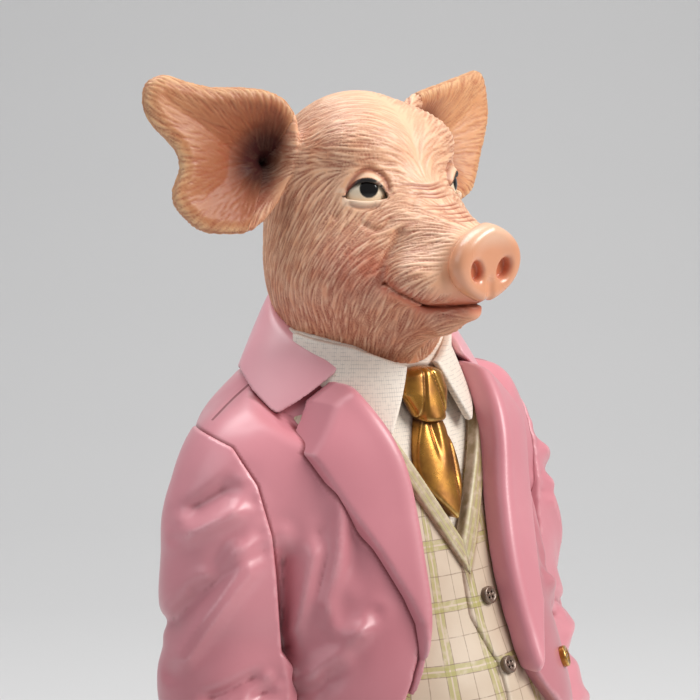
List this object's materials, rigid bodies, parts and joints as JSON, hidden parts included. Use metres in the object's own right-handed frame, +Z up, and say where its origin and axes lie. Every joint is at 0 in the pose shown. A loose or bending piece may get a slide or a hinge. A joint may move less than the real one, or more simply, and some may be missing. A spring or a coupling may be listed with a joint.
{
  "type": "pig figurine",
  "caption": "Standing pig ornament in a three-piece suit with a tie, hands at its trouser pockets, cast in pieces and painted.",
  "frame": {"origin": "on the floor under the middle of the figure's box", "axes": "+Z up, the pig faces -Y, its right side is -X"},
  "size_m": [0.1356, 0.1022, 0.3585],
  "materials": {
    "skin": "satin painted resin",
    "snout": "gloss painted resin",
    "eye": "gloss painted resin",
    "shirt": "matt painted resin",
    "tie": "gold paint",
    "vest": "satin painted resin, plaid",
    "button_dark": "pewter paint",
    "button_gold": "gold paint",
    "jacket": "satin painted resin",
    "trousers": "satin painted resin",
    "shoe": "gloss painted resin",
    "sole": "matt painted resin",
    "felt": "felt",
    "core": "matt painted resin",
    "steel": "bare",
    "wood": "bare"
  },
  "bodies": {
    "root": {"head_casting": "skin", "right_ear": "skin", "left_ear": "skin", "snout_pad": "snout", "right_eye": "eye", "left_eye": "eye", "neck_dowel": "wood", "torso_core": "core", "shirt_collar_band": "shirt", "shirt_collar_right_leaf": "shirt", "shirt_collar_left_leaf": "shirt", "tie_knot": "tie", "tie_blade": "tie", "vest_right_front": "vest", "vest_left_front": "vest", "vest_right_lapel": "vest", "vest_left_lapel": "vest", "vest_buttons": "button_dark", "jacket_body": "jacket", "jacket_collar": "jacket", "right_lapel": "jacket", "left_lapel": "jacket", "jacket_button": "button_gold", "right_sleeve": "jacket", "left_sleeve": "jacket", "right_cuff": "shirt", "left_cuff": "shirt", "right_shoulder_dowel": "steel", "left_shoulder_dowel": "steel", "trousers": "trousers", "right_leg_rod": "steel", "left_leg_rod": "steel", "right_shoe": "shoe", "left_shoe": "shoe", "right_sole": "sole", "left_sole": "sole", "right_felt_pad": "felt", "left_felt_pad": "felt"}
  },
  "joints": []
}
